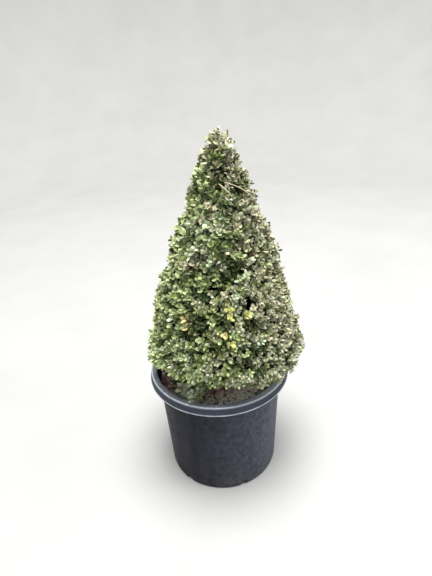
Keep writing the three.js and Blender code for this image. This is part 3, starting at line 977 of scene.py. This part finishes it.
# Places of the few yellowed sprays
TURNED_PLACES = {
    "yellow": ((0.022, -0.139, 0.539), (0.025, -0.141, 0.527), (0.029, -0.143, 0.513),
               (0.061, -0.137, 0.516), (0.031, -0.168, 0.463)),
    "amber": ((0.023, -0.164, 0.478), (-0.061, -0.130, 0.502), (-0.067, -0.127, 0.493)),
}
# Belts of darker leaves, or lighter ones where the share is below nothing: azimuth, heights and share
SHADED_BELTS = (
    (-111, 0.46, 0.53, 0.90),
    (-112, 0.56, 0.60, 1.15),
    (-120, 0.63, 0.70, -1.10),
    (-66, 0.63, 0.69, 1.25),
    (-60, 0.73, 0.76, 0.80),
    (-33, 0.69, 0.73, -1.00),
    (-26, 0.40, 0.58, -0.40),
    (-70, 0.38, 0.44, 0.70),
)
# Places where the clipped surface opens into the shade
GAP_PLACES = (
    (0.036, -0.042, 0.799), (0.043, -0.050, 0.779), (0.064, -0.093, 0.649), (0.083, -0.099, 0.610),
    (0.030, -0.116, 0.592), (0.031, -0.088, 0.668), (0.064, -0.132, 0.529), (0.075, -0.142, 0.495),
    (-0.052, -0.096, 0.599), (-0.089, -0.111, 0.485), (-0.059, -0.152, 0.441), (-0.084, -0.147, 0.402),
)
GAP_REACH = 0.014


def azimuth_of(places):
    return np.arctan2(places[:, 1], places[:, 0])


def facing(azimuth, towards):
    """One where the crown faces an azimuth, falling to nothing a quarter turn away."""
    return np.maximum(np.cos(azimuth - math.radians(towards)), 0.0)


def spray_tints(tips, pocket, stem, owner):
    """Deals a tint to each spray: fresh on the left, grey-green in front, bronzed on the right and on top."""
    centre = axis_at(stem, tips[:, 2])
    azimuth = azimuth_of(tips - centre)
    height = ease(0.31, 0.85, tips[:, 2])
    patch = waves(tips, 0.11, 41)
    drift = waves(tips, 0.05, 43)
    shade = waves(tips, 0.09, 47)
    left = facing(azimuth, 218) ** 1.2
    right = facing(azimuth, -3) ** 2 * (1 - 0.6 * facing(azimuth, 50) ** 2)
    back = np.maximum(facing(azimuth, 60), facing(azimuth, 120))
    left_edge = facing(azimuth, 190) ** 4
    edge = np.maximum(facing(azimuth, -12) ** 4, left_edge)
    peak = ease(0.79, 0.84, tips[:, 2])
    rest = 1 - left
    darker = sum(share * facing(azimuth, towards) ** 16 * belt(tips[:, 2], low, high)
                 for towards, low, high, share in SHADED_BELTS)
    dealt = {
        # Painted shade: deep greens go more to the pockets, to the shaded belts and to the shade field
        "deep": (0.30 - 0.10 * left - 0.10 * right - 0.18 * edge + 0.10 * height - 0.40 * peak
                 + 0.14 * drift + 0.34 * shade + 1.1 * pocket * (1 - 0.7 * peak) + darker),
        "leaf": 0.07 + 0.55 * left + 0.35 * back + 0.08 * patch,
        "fresh": -0.03 + 1.15 * left + 0.40 * back + 0.08 * patch,
        "light": -0.03 + 1.50 * left_edge + 0.50 * facing(azimuth, 205) ** 5 * height + 0.10 * drift,
        # Pale blue-greens on the left, partly painted highlights
        "mint_and_highlight": 0.02 + 0.42 * left + 0.10 * drift - 0.10 * shade - 1.2 * darker * left,
        "olive": 0.50 * rest - 0.15 * patch - 0.20 * right + 0.26 * height - 0.30 * peak,
        "grey_green_painted_lit": 0.02 + 0.02 * drift,
        "grey": 0.12 + 0.70 * rest + 0.20 * facing(azimuth, -60) + 0.10 * height - 0.35 * back,
        "pale": (0.06 + 0.70 * peak + 0.17 * rest + 0.22 * right + 0.08 * drift - 0.12 * shade
                 - 0.06 * height - 0.16 * back - 0.9 * darker),
        "bronze": (0.05 + (0.92 + 0.35 * patch) * right + 0.60 * height ** 2 + 0.8 * peak
                   - 0.04 * left + 0.05 * drift - 0.05 * back),
    }
    weights = [np.broadcast_to(dealt.get(name, 0.0), len(tips)) for name in TINTS]
    weights = np.clip(np.stack(weights, axis=1), 0.0, None)
    weights[owner == "low_spray"] = [LOW_SPRAY_TINTS.get(name, 0.0) for name in TINTS]
    share = np.cumsum(weights, axis=1) / weights.sum(axis=1, keepdims=True)
    pick = (rng.uniform(0, 1, (len(tips), 1)) > share).sum(axis=1)
    for index, name in turned_sprays(tips):
        pick[index] = NAMES.index(name)
    return pick


def leaf_vigour(tips):
    """How large the leaves of each spray grow: largest on the left and high at the front."""
    azimuth = azimuth_of(tips)
    high_front = facing(azimuth, -70) * ease(0.50, 0.66, tips[:, 2])
    return 0.93 + 0.27 * facing(azimuth, 205) + 0.10 * waves(tips, 0.07, 53) + 0.22 * high_front


def leaf_shelter(tips, owner):
    """How readily inner leaves turn dark with painted shade: less at the left edge, near the top and on the
    low spray.
    """
    azimuth = azimuth_of(tips)
    shelter = 1.0 - 0.22 * facing(azimuth, 196) ** 3 - 0.75 * ease(0.78, 0.83, tips[:, 2])
    return np.where(owner == "low_spray", 0.45, shelter)


def leaf_stations(shoots):
    """Places of the leaf pairs back from the end of each shoot, which way the shoot grows there, how far
    back each is as a share of the leafy length, and whether the shoot reaches that far."""
    pairs = int(round(LEAFY_LENGTH / PAIR_SPACING)) + 1
    count = len(shoots)
    length = np.linalg.norm(np.diff(shoots, axis=1), axis=2)
    run = np.concatenate([np.zeros((count, 1)), np.cumsum(length, axis=1)], axis=1)
    total = run[:, -1:]
    back = (np.arange(pairs) + rng.uniform(-0.2, 0.2, (count, pairs))) * PAIR_SPACING
    wanted = total - np.maximum(back, 0)
    here = np.empty((count, pairs, 3))
    for k in range(3):
        for i in range(count):
            here[i, :, k] = np.interp(wanted[i], run[i], shoots[i, :, k])
    share = np.clip(back / LEAFY_LENGTH, 0, 1)
    end = unit(shoots[:, -1] - shoots[:, -2])
    before = unit(shoots[:, -2] - shoots[:, -3])
    along = unit(end[:, None] * (1 - share[..., None]) + before[:, None] * share[..., None])
    return here, along, share, wanted > total * 0.06


def for_both(values):
    """The value of each leaf pair, repeated for its two leaves."""
    return np.repeat(values[:, :, None], 2, axis=2)


def leaf_tints(tints, share, shelter):
    """Each leaf takes its spray's tint, but further in, more and more of them are dark, partly as older
    leaves and partly as painted shade.
    """
    share = for_both(share)
    inner = ease(0.22, 0.80, share) * shelter[:, None, None] > rng.uniform(0.12, 1, share.shape)
    tint = np.where(inner, NAMES.index("inner"), tints[:, None, None])
    tint = np.where(inner & (share > SHADE_FROM), NAMES.index("shade"), tint)
    turned = np.isin(tint, [NAMES.index(name) for name in TURNED_PLACES])
    return np.where(turned & (share > YELLOW_UNTIL), NAMES.index("leaf"), tint)


def leaf_places(shoots, tints, vigour, shelter):
    """Opposite leaves in crossed pairs along the end of each shoot. Returns an array each of their places,
    directions, upper sides, lengths and tints."""
    here, along, share, kept = leaf_stations(shoots)
    count, pairs = share.shape
    guide = unit(rng.normal(size=(count, 1, 3)))
    across = unit(np.cross(along, guide))
    crossed = np.cross(along, across)
    every_other = (np.arange(pairs) % 2 == 1)[None, :, None]
    across = np.where(every_other, crossed, across)
    sides = np.stack([across, -across], axis=2)
    sides = unit(sides + rng.normal(0, 0.25, sides.shape))
    along = for_both(along)
    back = share[:, :, None, None]
    splay = np.radians(LEAF_SPLAY + INNER_SPLAY * back + rng.normal(0, 11, (count, pairs, 2, 1)))
    direction = unit(along * np.cos(splay) + sides * np.sin(splay))
    normal = unit(along - direction * np.sum(along * direction, axis=-1, keepdims=True))
    roll = rng.normal(0, 0.35, (count, pairs, 2, 1))
    normal = unit(normal * np.cos(roll) + np.cross(direction, normal) * np.sin(roll))
    grown = LEAF_LENGTH * (1.0 - YOUNG_LOSS * np.exp(-back * 6))
    size = grown * rng.uniform(0.78, 1.18, (count, pairs, 2, 1)) * vigour[:, None, None, None]
    tint = leaf_tints(tints, share, shelter)
    pick = for_both(kept).reshape(-1)
    flat = [x.reshape(-1, x.shape[-1])[pick] for x in (for_both(here), direction, normal, size)]
    return (*flat, tint.reshape(-1)[pick])


def leaf_mesh(name, places, direction, normal, size):
    """Leaves in one mesh, each from its stalk's place along its direction and facing along its normal."""
    side = np.cross(normal, direction)[:, None]
    width = LEAF_WIDTH_SHARE * rng.uniform(0.85, 1.15, (len(size), 1, 1))
    x, y, z = (LEAF[:, k][None, :, None] for k in range(3))
    reach = size[:, None]
    vertices = (places[:, None] + x * direction[:, None] * reach
                + y * side * reach * width + z * normal[:, None] * reach)
    faces = LEAF_FACES[None] + (np.arange(len(places)) * len(LEAF))[:, None, None]
    return mesh_from_arrays(name, vertices.reshape(-1, 3), faces.reshape(-1, 3))


def make_leaves(shoots, tints, vigour, shelter):
    places, direction, normal, size, tint = leaf_places(shoots, tints, vigour, shelter)
    other = np.array([NAMES.index(NEIGHBOURS.get(name, name)) for name in NAMES])
    steady = np.array([STEADY.get(name, 0.0) for name in NAMES])
    turns = rng.uniform(0, 1, len(tint)) + steady[tint] < TURNED_SHARE
    tint = np.where(turns, other[tint], tint)
    for index, name in enumerate(NAMES):
        chosen = tint == index
        mesh = leaf_mesh("leaves_" + name, places[chosen], direction[chosen], normal[chosen], size[chosen])
        material = leaf_material("leaf_" + name, TINTS[name], specular=DULL.get(name, LEAF_GLOSS))
        settle(new_object("leaves_" + name, mesh, material), "leaves", *MASSES)


def turned_sprays(tips):
    """The spray nearest each place in TURNED_PLACES, with its tint."""
    return [(np.linalg.norm(tips - place, axis=1).argmin(), name)
            for name, places in TURNED_PLACES.items() for place in places]


def dark_pockets(tips):
    """One where the clipped surface opens into a shaded pocket between sprays, else nothing."""
    denser = 1 - 0.4 * facing(azimuth_of(tips), -30)
    scattered = ease(0.20, 0.80, waves(tips, 0.048, 17)) * denser
    away = np.linalg.norm(tips[:, None] - np.array(GAP_PLACES)[None], axis=2)
    return np.maximum(scattered, np.exp(-(away / GAP_REACH) ** 2).max(axis=1))


def sink(tips, outward, owner, pocket):
    """Draws the sprays' ends in under the clipped surface, deeper in pockets and on the underside."""
    depth = -0.0020 + POCKET_DEPTH * pocket + np.abs(rng.normal(0, 0.003, len(tips)))
    depth += HIGH_DEPTH * ease(0.42, 0.60, tips[:, 2])
    proud = rng.uniform(0, 1, len(tips)) < PROUD_SHARE
    depth = np.where(proud, rng.uniform(-0.005, 0.001, len(tips)), depth)
    depth[[index for index, _ in turned_sprays(tips)]] = -0.005
    hanging = owner == "low_spray"
    depth += UNDERSIDE_DEPTH * np.clip(-outward[:, 2] * 1.6, 0, 1) * ~hanging
    azimuth = azimuth_of(tips)
    low = 1 - ease(0.40, 0.46, tips[:, 2])
    depth -= 0.003 * facing(azimuth, 5) + 0.005 * facing(azimuth, 185) * low
    sunk = tips - outward * depth[:, None]
    sunk[:, 2] += PEAK_FILL * ease(0.79, 0.825, tips[:, 2]) * facing(azimuth, -15) ** 0.5
    turn = np.degrees(azimuth) - NOTCH_AZIMUTH
    rise = NOTCH_RISE * np.exp(-(turn / NOTCH_SPREAD) ** 2) + EDGE_RISE * facing(azimuth, -100) ** 1.5
    sunk[:, 2] += rise * (1 - ease(0.345, 0.405, tips[:, 2])) * ~hanging
    sunk[:, 0] -= LOW_SPRAY_PINCH * (tips[:, 0] - LOW_SPRAY_X) * hanging
    sunk[:, 1] -= LOW_SPRAY_SWELL * hanging * ease(-0.3, 0.6, -outward[:, 1])
    sunk[:, 2] += LOW_SPRAY_LIFT * hanging
    return sunk


add_camera()
add_stage()
make_pot()
stem_line, bough_lines = make_limbs()
make_soil()
make_mulch()
surface, directions, owners = surface_points()
pockets = dark_pockets(surface)
tips = sink(surface, directions, owners, pockets)
shoot_paths = grow_wood(stem_line, bough_lines, tips, directions)
tints = spray_tints(surface, pockets, stem_line, owners)
make_leaves(shoot_paths, tints, leaf_vigour(surface), leaf_shelter(surface, owners))
make_bare_twigs(surface, directions)
